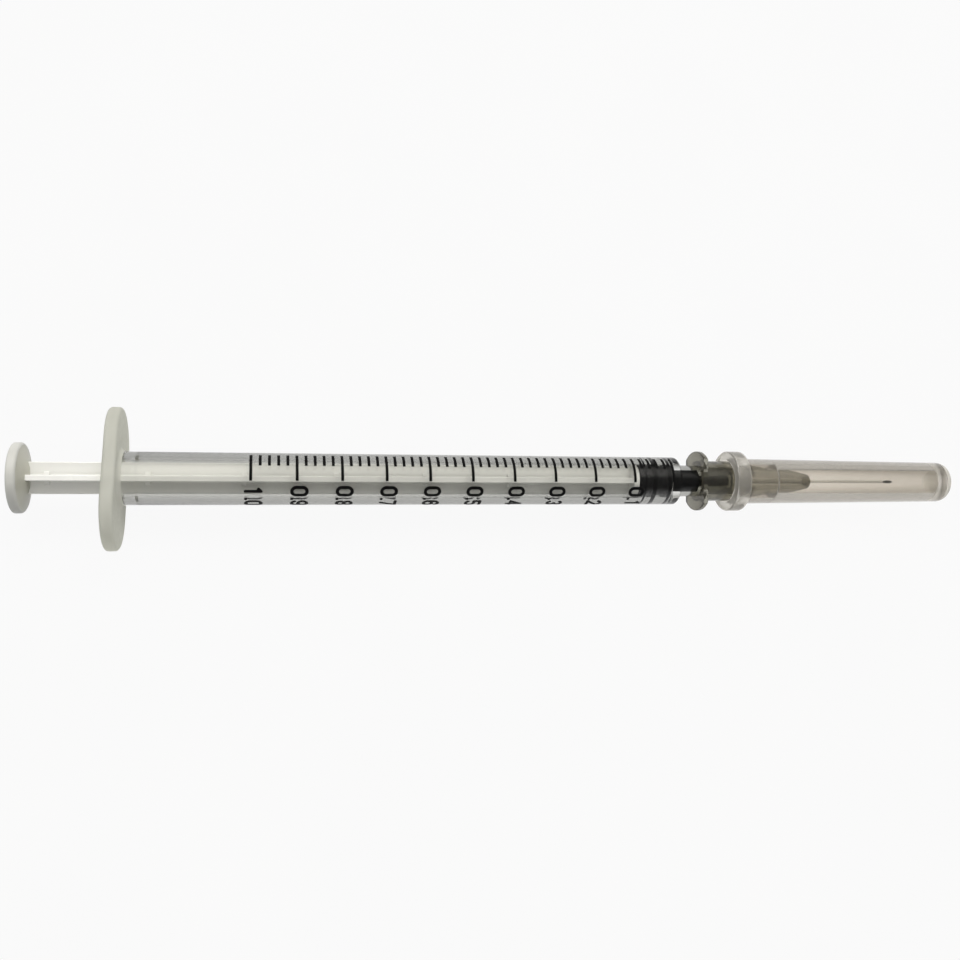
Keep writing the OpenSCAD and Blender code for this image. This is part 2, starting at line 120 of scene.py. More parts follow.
# Stiffening discs: how many, the first one's place from the rest's rear face, their
# spacing, their radius and half their thickness
DISCS = 6
DISC_FIRST = 3.7
DISC_STEP = 11.4
DISC_R = 0.9
DISC_HALF = 0.325
# The disc that pushes the piston, and the barb in front of it
SEAT = 65.7
NECK = 66.5
BARB = 67.3
BARB_END = 68.4
SEAT_R = 2.15
NECK_R = 0.85
BARB_R = 1.25
BARB_END_R = 0.875

# Piston, whose ribs are pressed a little into the bore's wall
ZERO = 71.07
GRIP_R = BORE_R + 0.008
PISTON_R = 2.05
PISTON_REAR = 66.57
SOCKET_STEP = 67.23
SOCKET_END = 68.47
SOCKET_NECK_R = 0.92
SOCKET_R = 1.32
# The two rear ribs, each by the start and the end of its crest, and the roundings of
# its crest and of its front foot
REAR_RIBS = ((67.17, 67.47, 0.03, 0.1), (68.37, 68.97, 0.05, 0.2))
# Length of a rear rib's flank
FLANK = 0.07
FRONT_RIB_FOOT = 70.5
FRONT_RIB = 70.62
PISTON_FACE = 71.2
PISTON_FACE_R = 2.1
NOSE_STEP = 75.7
NOSE_TAPER = 75.95
NOSE_END = 80.32
NOSE_R = 0.938
NOSE_THIN_R = 0.76
NOSE_END_R = 0.7

# Needle hub, with lengths from its mouth
HUB = 75.72
HUB_R = 2.8
SKIRT = 4.9
SKIRT_STEP = 5.1
HUB_SOCKET = 7.5
HUB_SOCKET_R = 2.146
HUB_SOCKET_END_R = 1.92
HUB_BODY = 8.0
HUB_BODY_R = 2.36
HUB_LENGTH = 17.1
HUB_NOSE_R = 1.35
HUB_END_R = 0.95
# The angle in degrees, near the camera's, that sets the lugs, the fins and the bevel
FACING = 21
# The mouth's lugs, with half their width
LUG_R = 4.14
LUG_T = 0.65
LUG_ROOT_R = 2.3
LUG_HALF = 2.78
# The lugs' darker plastic, painted shade, covers what stands out of the hub's mouth by more
# than this
LUG_LOOK = 0.05
# The nose's fins, with half their thickness and where their straight edge runs
FIN_ROOT_R = 2.3
FIN_R = 1.66
FIN_HALF = 0.3
FIN_STEP = 11.4
FIN_DROP = 13.9
# Half the height of the bars that trim the lugs and the fins
LUG_TRIM = 5
FIN_TRIM = 3

# Needle tube
NEEDLE_START = 83.63
POINT = 107.02
NEEDLE_R = 0.205
NEEDLE_BORE_R = 0.105
# Quads round the tube
NEEDLE_SIDES = 32
# Angle between the bevel and the tube, in degrees
BEVEL = 12

# Adhesive bead
GLUE_START = 91.6
GLUE_WELL = 92.82
GLUE_CROWN = 93.1
GLUE_RIM = 93.3
GLUE_END = 93.37
GLUE_INSIDE_R = 0.21
GLUE_START_R = 0.23
GLUE_END_R = 0.22
GLUE_CROWN_R = 0.45
GLUE_R = 0.6

# Cap
CAP = 80.32
CAP_END = 115.82
COLLAR_R = 4.18
COLLAR_T = 2.05
CAP_R = 3.18
CAP_END_R = 2.89
CAP_MOUTH_R = 2.86
CAP_BORE_R = 2.41
MOUTH_STEP = 80.9
BORE_STEP = 81.1
NARROWS = 87.17
NARROW = 87.57
NARROW_R = 1.7
NARROW_END = 113.5
NARROW_END_R = 1.68
BORE_DOME = 113.72
BORE_DOME_R = 1.2
BORE_TOP = 113.9
# The milkier finishes of the cap's end and of its collar start here
CAP_TIP_LOOK = 113.3
COLLAR_LOOK_R = 3.2


# Meshes


def at(z, r=0.0, a=0.0):
    """The frame's point at a station, a radius and an angle in degrees."""
    t = math.radians(a)
    return Vector(((z - MID) * MM, -r * math.sin(t) * MM, r * math.cos(t) * MM))


def rounded(points, steps=5):
    """A turned outline from (station, radius, fillet) corners. A corner with no fillet
    stays sharp, and a fillet takes up less than half of each side beside it."""
    share = 0.49
    out = []
    for i, p in enumerate(points):
        if len(p) < 3 or i == 0 or i == len(points) - 1:
            out.append((p[0], p[1]))
            continue
        here = Vector(p[:2])
        to_last = Vector(points[i - 1][:2]) - here
        to_next = Vector(points[i + 1][:2]) - here
        before = to_last.normalized()
        after = to_next.normalized()
        half = before.angle(after) / 2
        back = min(p[2] / math.tan(half), share * to_last.length, share * to_next.length)
        radius = back * math.tan(half)
        centre = here + (before + after).normalized() * (radius / math.sin(half))
        start = here + before * back - centre
        turn = (here + after * back - centre).angle_signed(start)
        for k in range(steps + 1):
            c = math.cos(turn * k / steps)
            s = math.sin(turn * k / steps)
            z = centre[0] + start[0] * c - start[1] * s
            r = centre[1] + start[0] * s + start[1] * c
            out.append((z, r))
    return out


def turned(name, outline, closed=False, turn=TURN, radius=None):
    """A piece turned about the syringe's axis. outline holds (station, radius) rows.
    Rows whose radius is 0 are poles. closed joins the last row to the first.
    radius(row, angle) gives a row's radius where it isn't round."""
    bm = bmesh.new()
    rings = []
    for row in outline:
        if len(row) == 2 and row[1] == 0:
            rings.append([bm.verts.new(at(row[0]))])
            continue
        ring = []
        for k in range(turn):
            a = 360.0 * k / turn
            r = radius(row, a) if radius else row[1]
            ring.append(bm.verts.new(at(row[0], r, a)))
        rings.append(ring)
    pairs = list(zip(rings, rings[1:]))
    if closed:
        pairs.append((rings[-1], rings[0]))
    for low, high in pairs:
        for k in range(turn):
            n = (k + 1) % turn
            if len(low) == 1:
                bm.faces.new((low[0], high[k], high[n]))
            elif len(high) == 1:
                bm.faces.new((low[k], high[0], low[n]))
            else:
                bm.faces.new((low[k], high[k], high[n], low[n]))
    return finished(name, bm)


def prism(name, outline, start, end, turn_by):
    """A bar between two stations, with a flat outline of (sideways, outward) points."""
    bm = bmesh.new()
    t = math.radians(turn_by)
    ends = []
    for z in (start, end):
        ring = []
        for x, y in outline:
            side = -(x * math.cos(t) + y * math.sin(t))
            up = y * math.cos(t) - x * math.sin(t)
            ring.append(bm.verts.new(((z - MID) * MM, side * MM, up * MM)))
        ends.append(ring)
    n = len(outline)
    for k in range(n):
        m = (k + 1) % n
        bm.faces.new((ends[0][k], ends[0][m], ends[1][m], ends[1][k]))
    bm.faces.new(ends[0])
    bm.faces.new(list(reversed(ends[1])))
    return finished(name, bm)


def bar(name, half, reach, start, end, turn_by):
    """A prism with a rectangular outline, half wide and reach tall each way."""
    corners = [(-half, -reach), (half, -reach), (half, reach), (-half, reach)]
    return prism(name, corners, start, end, turn_by)


def finished(name, bm):
    """Makes an object of a bmesh, with its faces turned outwards."""
    bmesh.ops.recalc_face_normals(bm, faces=bm.faces)
    mesh = bpy.data.meshes.new(name)
    bm.to_mesh(mesh)
    bm.free()
    o = bpy.data.objects.new(name, mesh)
    bpy.context.scene.collection.objects.link(o)
    smooth(mesh)
    return o


def smooth(mesh):
    for p in mesh.polygons:
        p.use_smooth = True
    mesh.set_sharp_from_angle(angle=math.radians(SHARP))


def combine(keep, others, operation):
    """Joins, cuts or trims keep with each of the others, which are then removed."""
    for other in others:
        mod = keep.modifiers.new("join", "BOOLEAN")
        mod.operation = operation
        mod.solver = "EXACT"
        mod.object = other
        graph = bpy.context.evaluated_depsgraph_get()
        mesh = bpy.data.meshes.new_from_object(keep.evaluated_get(graph))
        keep.modifiers.remove(mod)
        keep.data = mesh
        bpy.data.objects.remove(other)
    bm = bmesh.new()
    bm.from_mesh(keep.data)
    bmesh.ops.remove_doubles(bm, verts=bm.verts, dist=WELD * MM)
    bmesh.ops.dissolve_degenerate(bm, edges=bm.edges, dist=WELD * MM)
    bm.to_mesh(keep.data)
    bm.free()
    smooth(keep.data)
    return keep


# Materials

# Sockets of a Mix node that mixes colours
MIX_SHARE = 0
MIX_FIRST = 6
MIX_SECOND = 7
MIX_RESULT = 2


def rgb(r, g, b):
    return (r, g, b, 1.0)


def set_ramp(elements, rows):
    """Fills a colour ramp with (position, level or colour) rows, the two ends first."""
    for k, (position, value) in enumerate(rows):
        e = elements[k] if k < 2 else elements.new(position)
        e.position = position
        e.color = value if isinstance(value, tuple) else rgb(value, value, value)


class Nodes:
    """The node tree of a material or a world, with short ways to add and join nodes."""

    def __init__(self, owner, output):
        owner.use_nodes = True
        self.tree = owner.node_tree
        self.tree.nodes.clear()
        self.out = self.add(output)

    def add(self, kind, **settings):
        n = self.tree.nodes.new("ShaderNode" + kind)
        for key, value in settings.items():
            setattr(n, key, value)
        return n

    def join(self, a, b):
        self.tree.links.new(a, b)

    def noise(self, scale, stretch=(1, 1, 1), detail=3.0):
        """Noise fixed to the piece, in cycles a millimetre."""
        place = self.add("TexCoord")
        fit = self.add("Mapping")
        fit.inputs["Scale"].default_value = [scale / MM * s for s in stretch]
        n = self.add("TexNoise")
        n.inputs["Scale"].default_value = 1.0
        n.inputs["Detail"].default_value = detail
        self.join(place.outputs["Object"], fit.inputs["Vector"])
        self.join(fit.outputs["Vector"], n.inputs["Vector"])
        return n.outputs["Fac"]

    def ramp(self, value, low, high, at_low=0.35, at_high=0.65):
        """Maps a value to the range between two levels or colours."""
        n = self.add("ValToRGB")
        set_ramp(n.color_ramp.elements, [(at_low, low), (at_high, high)])
        self.join(value, n.inputs["Fac"])
        return n.outputs["Color"]

    def bump(self, value, strength, distance):
        """Bumps from a value, with the distance in mm."""
        n = self.add("Bump")
        n.inputs["Strength"].default_value = strength
        n.inputs["Distance"].default_value = distance * MM
        self.join(value, n.inputs["Height"])
        return n.outputs["Normal"]

    def blend(self, kind, first, second):
        """Blends two colours in full, by MULTIPLY or LIGHTEN."""
        n = self.add("Mix", data_type="RGBA", blend_type=kind)
        n.inputs[MIX_SHARE].default_value = 1.0
        self.join(first, n.inputs[MIX_FIRST])
        self.join(second, n.inputs[MIX_SECOND])
        return n.outputs[MIX_RESULT]

    def mix(self, share, first, second):
        """Mixes two shaders. share is the second's, as a number or an output."""
        n = self.add("MixShader")
        if isinstance(share, float):
            n.inputs["Fac"].default_value = share
        else:
            self.join(share, n.inputs["Fac"])
        self.join(first.outputs[0], n.inputs[1])
        self.join(second.outputs[0], n.inputs[2])
        return n

    def close(self, shader):
        self.join(shader.outputs[0], self.out.inputs["Surface"])


def clear_plastic(name, low, high, rough, ior, passes, haze, haze_colour, edge_shade, ripple=0.12):
    """Clear moulded plastic, coloured by low and high, and darkened as painted shade where it
    is seen edgewise, towards the colour given for its edges.
    Shadow rays go through it and are tinted by passes, so what it holds is lit."""
    material = bpy.data.materials.new(name)
    m = Nodes(material, "OutputMaterial")
    body = m.add("BsdfPrincipled")
    body.inputs["Transmission Weight"].default_value = 1.0
    body.inputs["IOR"].default_value = ior
    view = m.add("LayerWeight")
    view.inputs["Blend"].default_value = 0.5
    # Painted shade: the colour darkens where the surface is seen edgewise
    depth = m.ramp(view.outputs["Facing"], 1.0, edge_shade, at_low=0.12, at_high=0.34)
    flow = m.ramp(m.noise(0.35, stretch=(0.25, 1, 1)), low, high)
    m.join(m.blend("MULTIPLY", flow, depth), body.inputs["Base Color"])
    m.join(m.ramp(m.noise(1.4), rough * 0.7, rough * 1.3), body.inputs["Roughness"])
    waves = m.noise(0.5, stretch=(0.3, 1, 1))
    m.join(m.bump(waves, ripple, 0.02), body.inputs["Normal"])
    back = m.add("BsdfDiffuse")
    back.inputs["Color"].default_value = haze_colour
    forward = m.add("BsdfTranslucent")
    forward.inputs["Color"].default_value = haze_colour
    hazy = m.mix(haze, body, m.mix(0.5, back, forward))
    through = m.add("BsdfTransparent")
    through.inputs["Color"].default_value = passes
    ray = m.add("LightPath")
    m.close(m.mix(ray.outputs["Is Shadow Ray"], hazy, through))
    return material


def milky_plastic(name, low, high, rough=0.32, light_through=0.12):
    """Translucent moulded plastic, which light passes into but not straight through."""
    material = bpy.data.materials.new(name)
    m = Nodes(material, "OutputMaterial")
    body = m.add("BsdfPrincipled")
    colour = m.ramp(m.noise(0.3, stretch=(0.3, 1, 1)), low, high)
    m.join(colour, body.inputs["Base Color"])
    grain = m.noise(0.4, detail=0.0)
    m.join(m.ramp(grain, rough * 0.9, rough * 1.1), body.inputs["Roughness"])
    m.join(m.bump(grain, 0.1, 0.01), body.inputs["Normal"])
    glow = m.add("BsdfTranslucent")
    m.join(colour, glow.inputs["Color"])
    m.close(m.mix(light_through, body, glow))
    return material


def solid_stuff(name, low, high, rough, metal=0.0, scale=1.0, stretch=(1, 1, 1)):
    """Stuff that lets no light through, with a grain in its colour and its gloss."""
    material = bpy.data.materials.new(name)
    m = Nodes(material, "OutputMaterial")
    body = m.add("BsdfPrincipled")
    body.inputs["Metallic"].default_value = metal
    body.inputs["Specular IOR Level"].default_value = 0.5 if metal else 0.1
    grain = m.noise(scale, stretch)
    m.join(m.ramp(grain, low, high), body.inputs["Base Color"])
    m.join(m.ramp(grain, rough * 0.8, rough * 1.2), body.inputs["Roughness"])
    m.join(m.bump(grain, 0.1, 0.01), body.inputs["Normal"])
    m.close(body)
    return material


# Each clear moulding gets painted shade where it is seen edgewise, more on its outside than in
# its bore
BARREL, BARREL_BORE = [
    clear_plastic(
        name,
        low=rgb(0.9, 0.9, 0.88),
        high=rgb(0.94, 0.94, 0.92),
        rough=0.03,
        ior=1.49,
        passes=rgb(0.9, 0.9, 0.89),
        haze=0.002,
        haze_colour=rgb(0.85, 0.86, 0.82),
        edge_shade=edge_shade,
    )
    for name, edge_shade in (
        ("barrel_plastic", rgb(0.2, 0.2, 0.19)),
        ("barrel_bore_plastic", rgb(0.6, 0.6, 0.59)),
    )
]
FLANGE_PLASTIC = clear_plastic(
    "flange_plastic",
    low=rgb(0.68, 0.68, 0.64),
    high=rgb(0.74, 0.74, 0.7),
    rough=0.45,
    ior=1.49,
    passes=rgb(0.8, 0.8, 0.78),
    haze=0.7,
    haze_colour=rgb(0.72, 0.72, 0.66),
    edge_shade=rgb(0.7, 0.7, 0.68),
    ripple=0.15,
)
CAP_PLASTIC, CAP_BORE = [
    clear_plastic(
        name,
        low=rgb(0.96, 0.92, 0.86),
        high=rgb(0.99, 0.95, 0.89),
        rough=0.08,
        ior=1.47,
        passes=rgb(0.9, 0.88, 0.84),
        haze=0.07,
        haze_colour=rgb(0.74, 0.72, 0.67),
        edge_shade=edge_shade,
    )
    for name, edge_shade in (
        ("cap_plastic", rgb(0.25, 0.24, 0.22)),
        ("cap_bore_plastic", rgb(0.95, 0.94, 0.92)),
    )
]
# The cap's round end and its collar are thick, and milkier than its wall
CAP_TIP, CAP_COLLAR = [
    clear_plastic(
        name,
        low=rgb(0.9, 0.88, 0.83),
        high=rgb(0.95, 0.93, 0.88),
        rough=0.2,
        ior=1.47,
        passes=rgb(0.9, 0.88, 0.84),
        haze=haze,
        haze_colour=rgb(0.93, 0.91, 0.86),
        edge_shade=rgb(0.6, 0.59, 0.56),
    )
    for name, haze in (("cap_tip_plastic", 0.42), ("cap_collar_plastic", 0.24))
]
HUB_PLASTIC = clear_plastic(
    "hub_plastic",
    low=rgb(0.46, 0.45, 0.39),
    high=rgb(0.52, 0.51, 0.445),
    rough=0.12,
    ior=1.47,
    passes=rgb(0.6, 0.59, 0.55),
    haze=0.09,
    haze_colour=rgb(0.27, 0.26, 0.225),
    edge_shade=rgb(0.4, 0.38, 0.33),
)
# The hub's lugs are solid plastic, painted darker than its wall as shade for the lower lug,
# which sits in shadow; both lugs get it
LUG_SHADED_PLASTIC = clear_plastic(
    "lug_painted_shade",
    low=rgb(0.36, 0.35, 0.3),
    high=rgb(0.42, 0.41, 0.35),
    rough=0.12,
    ior=1.47,
    passes=rgb(0.6, 0.59, 0.55),
    haze=0.15,
    haze_colour=rgb(0.3, 0.29, 0.25),
    edge_shade=rgb(0.4, 0.38, 0.33),
)
GLUE = clear_plastic(
    "cured_adhesive",
    low=rgb(0.85, 0.83, 0.74),
    high=rgb(0.9, 0.88, 0.8),
    rough=0.1,
    ior=1.45,
    passes=rgb(0.8, 0.8, 0.75),
    haze=0.15,
    haze_colour=rgb(0.7, 0.68, 0.6),
    edge_shade=rgb(0.8, 0.8, 0.78),
    ripple=0.1,
)
ROD_PLASTIC = milky_plastic("rod_plastic", rgb(0.79, 0.79, 0.76), rgb(0.85, 0.85, 0.82))
# The thumb rest is the same plastic painted greyer as shade, its rim a little less so,
# and the rib tips are painted whiter as a highlight
REST_SHADED_PLASTIC = milky_plastic(
    "thumb_rest_painted_shade", rgb(0.53, 0.525, 0.45), rgb(0.58, 0.575, 0.5)
)
REST_RIM_SHADED_PLASTIC = milky_plastic(
    "thumb_rest_rim_painted_shade", rgb(0.61, 0.61, 0.575), rgb(0.66, 0.66, 0.625)
)
RIB_TIP_HIGHLIGHT = milky_plastic(
    "rib_tip_painted_highlight",
    rgb(0.9, 0.9, 0.87),
    rgb(0.95, 0.95, 0.92),
    rough=0.3,
    light_through=0.05,
)
RUBBER = solid_stuff(
    "black_rubber",
    low=rgb(0.002, 0.002, 0.002),
    high=rgb(0.005, 0.005, 0.005),
    rough=0.55,
    scale=3.0,
)
INK = solid_stuff(
    "ink",
    low=rgb(0.002, 0.002, 0.002),
    high=rgb(0.006, 0.006, 0.006),
    rough=0.6,
    scale=6.0,
)
STEEL = solid_stuff(
    "needle_steel",
    low=rgb(0.66, 0.66, 0.65),
    high=rgb(0.8, 0.8, 0.79),
    rough=0.35,
    metal=0.5,
    scale=4.0,
    stretch=(0.05, 1, 1),
)
# Nearly black painted shade for the needle's bevel and bore
BEVEL_SHADE = solid_stuff(
    "bevel_painted_shade",
    low=rgb(0.008, 0.008, 0.008),
    high=rgb(0.02, 0.02, 0.02),
    rough=0.5,
    scale=8.0,
    stretch=(1, 0.1, 1),
)


def dress(o, material, body, nodes):
    """Gives a piece its finish, its body and the nodes it stands in for."""
    o.data.materials.clear()
    o.data.materials.append(material)
    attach(o, body)
    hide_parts(*nodes)


def finish_faces(o, material, chosen):
    """Gives the chosen faces of a piece a finish of their own."""
    o.data.materials.append(material)
    index = len(o.data.materials) - 1
    for p in o.data.polygons:
        if chosen(p):
            p.material_index = index


def station(p):
    """Station of a face's middle."""
    return p.center[0] / MM + MID


def from_axis(p):
    """A face's distance from the syringe's axis, in mm."""
    return math.hypot(p.center[1], p.center[2]) / MM


def faces_axis(p):
    """True of a face inside a bore, which looks towards the syringe's axis."""
    return p.normal[1] * p.center[1] + p.normal[2] * p.center[2] < 0


# Barrel


def stadium(a):
    """Radius of the flange's outline at an angle from the top."""
    c = abs(math.cos(math.radians(a)))
    s = abs(math.sin(math.radians(a)))
    if FLANGE_END_R * s <= FLANGE_HALF_RUN * c:
        return FLANGE_END_R / c
    return FLANGE_HALF_RUN * s + math.sqrt(FLANGE_END_R**2 - (FLANGE_HALF_RUN * c) ** 2)


def barrel_radius(row, a):
    """A rim row's radius is measured inwards from the flange's outline."""
    return stadium(a) - row[1] if len(row) > 2 else row[1]


def flange_rim():
    """Rows round the flange's edge, from its rear face to its front face."""
    rim = []
    for k in range(EDGE_STEPS + 1):
        t = math.pi * k / EDGE_STEPS
        if 2 * k <= EDGE_STEPS:
            z = -FLANGE_T + FLANGE_EDGE * (1 - math.cos(t))
        else:
            z = -FLANGE_EDGE * (1 + math.cos(t))
        rim.append((z, FLANGE_EDGE * (1 - math.sin(t)), "rim"))
    return rim


def make_barrel():
    """One moulding, with its flange, front wall and nozzle."""
    outside = rounded(
        [
            (0.0, FLANGE_FACE_R),
            (0.0, TUBE_R, ROOT_FILLET),
            (FRONT, TUBE_R, 0.35),
            (FRONT, TIP_R + LUER_SLOPE * (TIP - FRONT), 0.12),
            (TIP, TIP_R, 0.2),
            (TIP, SEAM_R),
        ],
        steps=8,
    )
    inside = rounded(
        [
            (TIP, SEAM_R),
            (TIP, CORE_R, 0.1),
            (BORE_END, CORE_R, 0.12),
            (BORE_END, BORE_R, 0.12),
            (BEAD_FOOT, BORE_R, 0.5),
            (BEAD_FRONT, BEAD_R, 0.5),
            (BEAD_BACK, BEAD_R, 0.5),
            (THROAT, THROAT_R, 0.8),
            (-FLANGE_T, MOUTH_R, 0.2),
            (-FLANGE_T, REAR_FACE_R),
        ]
    )
    barrel = turned(
        "barrel_moulding",
        flange_rim() + outside + inside[1:],
        closed=True,
        turn=TURN * 2,
        radius=barrel_radius,
    )
    dress(barrel, BARREL, "barrel", ["barrel"])
    finish_faces(barrel, BARREL_BORE, faces_axis)
    finish_faces(
        barrel,
        FLANGE_PLASTIC,
        lambda p: station(p) < FLANGE_LOOK_END and from_axis(p) > FLANGE_LOOK_R,
    )


def ink_scale():
    """The print's own nodes stay in sight, with ink on them."""
    for name in ("graduation_lines", "graduation_numerals"):
        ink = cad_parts[name]
        ink.data.materials.clear()
        ink.data.materials.append(INK)


# Plunger rod


def rib_cross():
    """The outline of the rod's cross, a quarter at a time."""
    fill = 0.25 * RIB_ROOT
    quarter = [
        (RIB_HALF, RIB_REACH_R - RIB_CUT),
        (RIB_HALF - RIB_CUT, RIB_REACH_R),
        (-RIB_HALF + RIB_CUT, RIB_REACH_R),
        (-RIB_HALF, RIB_REACH_R - RIB_CUT),
        (-RIB_HALF, RIB_HALF + RIB_ROOT),
        (-RIB_HALF - fill, RIB_HALF + fill),
        (-RIB_HALF - RIB_ROOT, RIB_HALF),
    ]
    cross = []
    for k in range(4):
        c = math.cos(math.radians(90 * k))
        s = math.sin(math.radians(90 * k))
        cross += [(x * c - y * s, x * s + y * c) for x, y in quarter]
    return cross


def thumb_rest():
    outline = [
        (PRESS + DISH, 0.0),
        (PRESS + DISH, DISH_R, 0.3),
        (PRESS, RING_R, 0.1),
        (PRESS, REST_R, 0.4),
        (PRESS + REST_T, REST_R, 0.35),
        (PRESS + SLOPE, SLOPE_R, 0.5),
        (PRESS + BOSS, BOSS_R, 0.8),
        (PRESS + BOSS, 0.0),
    ]
    return turned("thumb_rest", rounded(outline), turn=TURN // 2)


def stiffening_disc(z):
    back = z - DISC_HALF
    front = z + DISC_HALF
    outline = [(back, 0), (back, DISC_R, 0.06), (front, DISC_R, 0.06), (front, 0)]
    return turned("web", rounded(outline, 2), turn=TURN // 4)


def seat_and_barb():
    outline = [
        (SEAT, 0),
        (SEAT, SEAT_R, 0.12),
        (NECK, SEAT_R, 0.12),
        (NECK, NECK_R, 0.1),
        (BARB, NECK_R),
        (BARB, BARB_R, 0.08),
        (BARB_END, BARB_END_R, 0.15),
        (BARB_END, 0),
    ]
    return turned("seat", rounded(outline, 3), turn=TURN // 3)


def make_rod():
    rod = prism("rod_ribs", rib_cross(), PRESS + RIB_SINK, RIB_END, RIB_TURN)
    parts = [thumb_rest()]
    for k in range(DISCS):
        parts.append(stiffening_disc(PRESS + DISC_FIRST + DISC_STEP * k))
    parts.append(seat_and_barb())
    combine(rod, parts, "UNION")
    rod.name = "plunger_moulding"
    dress(rod, ROD_PLASTIC, "plunger", ["plunger_rod"])
    # Painted highlight on the rib tips, and painted shade on the thumb rest, lighter on its
    # rim
    finish_faces(rod, RIB_TIP_HIGHLIGHT, lambda p: from_axis(p) > RIB_REACH_R - RIB_HIGHLIGHT_DEPTH)
    finish_faces(rod, REST_SHADED_PLASTIC, lambda p: station(p) < PRESS + REST_LOOK)
    finish_faces(
        rod,
        REST_RIM_SHADED_PLASTIC,
        lambda p: station(p) < PRESS + REST_LOOK and from_axis(p) > REST_RIM_R,
    )


# Piston


def make_piston():
    outline = [
        (SOCKET_END, 0.0),
        (SOCKET_END, SOCKET_R),
        (SOCKET_STEP, SOCKET_R),
        (SOCKET_STEP, SOCKET_NECK_R),
        (PISTON_REAR, SOCKET_NECK_R),
        (PISTON_REAR, PISTON_R, 0.15),
    ]
    for start, end, crest, foot in REAR_RIBS:
        outline += [
            (start - FLANK, PISTON_R, 0.1),
            (start, GRIP_R, crest),
            (end, GRIP_R, crest),
            (end + FLANK, PISTON_R, foot),
        ]
    outline += [
        (FRONT_RIB_FOOT, PISTON_R, 0.2),
        (FRONT_RIB, GRIP_R, 0.05),
        (ZERO, GRIP_R, 0.08),
        (PISTON_FACE, PISTON_FACE_R, 0.1),
        (PISTON_FACE, NOSE_R, 0.05),
        (NOSE_STEP, NOSE_R, 0.1),
        (NOSE_TAPER, NOSE_THIN_R, 0.1),
        (NOSE_END, NOSE_END_R, 0.6),
        (NOSE_END, 0.0),
    ]
    piston = turned("piston_rubber", rounded(outline, 3))
    dress(piston, RUBBER, "piston", ["piston"])


# Needle hub


def hub_lugs():
    """A ring round the hub's mouth, trimmed to two lugs."""
    end = HUB + LUG_T
    outline = [(HUB, LUG_ROOT_R), (HUB, LUG_R, 0.12), (end, LUG_R, 0.12), (end, LUG_ROOT_R)]
    ring = turned("lugs", rounded(outline, 3), closed=True, turn=TURN // 2)
    trim = bar("flat", LUG_HALF, LUG_TRIM, HUB - 1, HUB + 2, FACING + 90)
    return combine(ring, [trim], "INTERSECT")


def hub_fin(a):
    """Two of the nose's four ribs, on opposite sides."""
    outline = [
        (HUB + HUB_SOCKET, 0),
        (HUB + HUB_SOCKET, FIN_ROOT_R),
        (HUB + HUB_BODY, FIN_ROOT_R),
        (HUB + FIN_STEP, FIN_R),
        (HUB + FIN_DROP, FIN_R),
        (HUB + HUB_LENGTH, HUB_END_R),
        (HUB + HUB_LENGTH, 0),
    ]
    fin = turned("fin", outline, turn=TURN // 3)
    blade = bar("blade", FIN_HALF, FIN_TRIM, HUB + 7, HUB + 18, a)
    return combine(fin, [blade], "INTERSECT")


def make_hub():
    """Its nose is left solid round the tube and the adhesive, without the CAD's hole."""
    outline = [
        (HUB + HUB_SOCKET, 0.0),
        (HUB + HUB_SOCKET, HUB_SOCKET_END_R, 0.1),
        (HUB, HUB_SOCKET_R, 0.06),
        (HUB, HUB_R, 0.12),
        (HUB + SKIRT, HUB_R, 0.4),
        (HUB + SKIRT_STEP, HUB_BODY_R, 0.2),
        (HUB + HUB_BODY, HUB_BODY_R, 0.3),
        (HUB + HUB_BODY, HUB_NOSE_R, 0.2),
        (HUB + HUB_LENGTH, HUB_END_R, 0.1),
        (HUB + HUB_LENGTH, 0.0),
    ]
    hub = turned("hub_moulding", rounded(outline), turn=TURN // 2)
    combine(hub, [hub_lugs(), hub_fin(FACING), hub_fin(FACING + 90)], "UNION")
    dress(hub, HUB_PLASTIC, "needle", ["needle_hub"])
    # The lugs get the darker painted shade
    finish_faces(hub, LUG_SHADED_PLASTIC, lambda p: from_axis(p) > HUB_R + LUG_LOOK)


# Needle tube and its adhesive


def make_needle():
    bm = bmesh.new()
    rings = []
    for r, z in (
        (NEEDLE_R, NEEDLE_START),
        (NEEDLE_R, POINT),
        (NEEDLE_BORE_R, POINT),
        (NEEDLE_BORE_R, NEEDLE_START),
    ):
        ring = []
        for k in range(NEEDLE_SIDES):
            a = 360.0 * k / NEEDLE_SIDES
            back = 0.0
            if z == POINT:
                depth = NEEDLE_R + r * math.cos(math.radians(a - FACING))
                back = depth / math.tan(math.radians(BEVEL))
            ring.append(bm.verts.new(at(z - back, r, a)))
        rings.append(ring)
    for low, high in zip(rings, rings[1:] + rings[:1]):
        for k in range(NEEDLE_SIDES):
            n = (k + 1) % NEEDLE_SIDES
            bm.faces.new((low[k], high[k], high[n], low[n]))
    needle = finished("needle_cannula", bm)
    dress(needle, STEEL, "needle", ["needle_tube"])
    # The bevel and the bore are the second and the third band of faces, painted nearly black
    # as shade
    finish_faces(needle, BEVEL_SHADE, lambda p: NEEDLE_SIDES <= p.index < 3 * NEEDLE_SIDES)


def make_adhesive():
    outline = [
        (GLUE_START, GLUE_INSIDE_R),
        (GLUE_START, GLUE_START_R),
        (GLUE_WELL, GLUE_R, 0.05),
        (GLUE_CROWN, GLUE_CROWN_R, 0.2),
        (GLUE_END, GLUE_END_R),
        (GLUE_RIM, GLUE_INSIDE_R),
    ]
    glue = turned("adhesive_bead", rounded(outline), closed=True, turn=TURN // 4)
    dress(glue, GLUE, "needle", ["needle_adhesive"])


# Cap


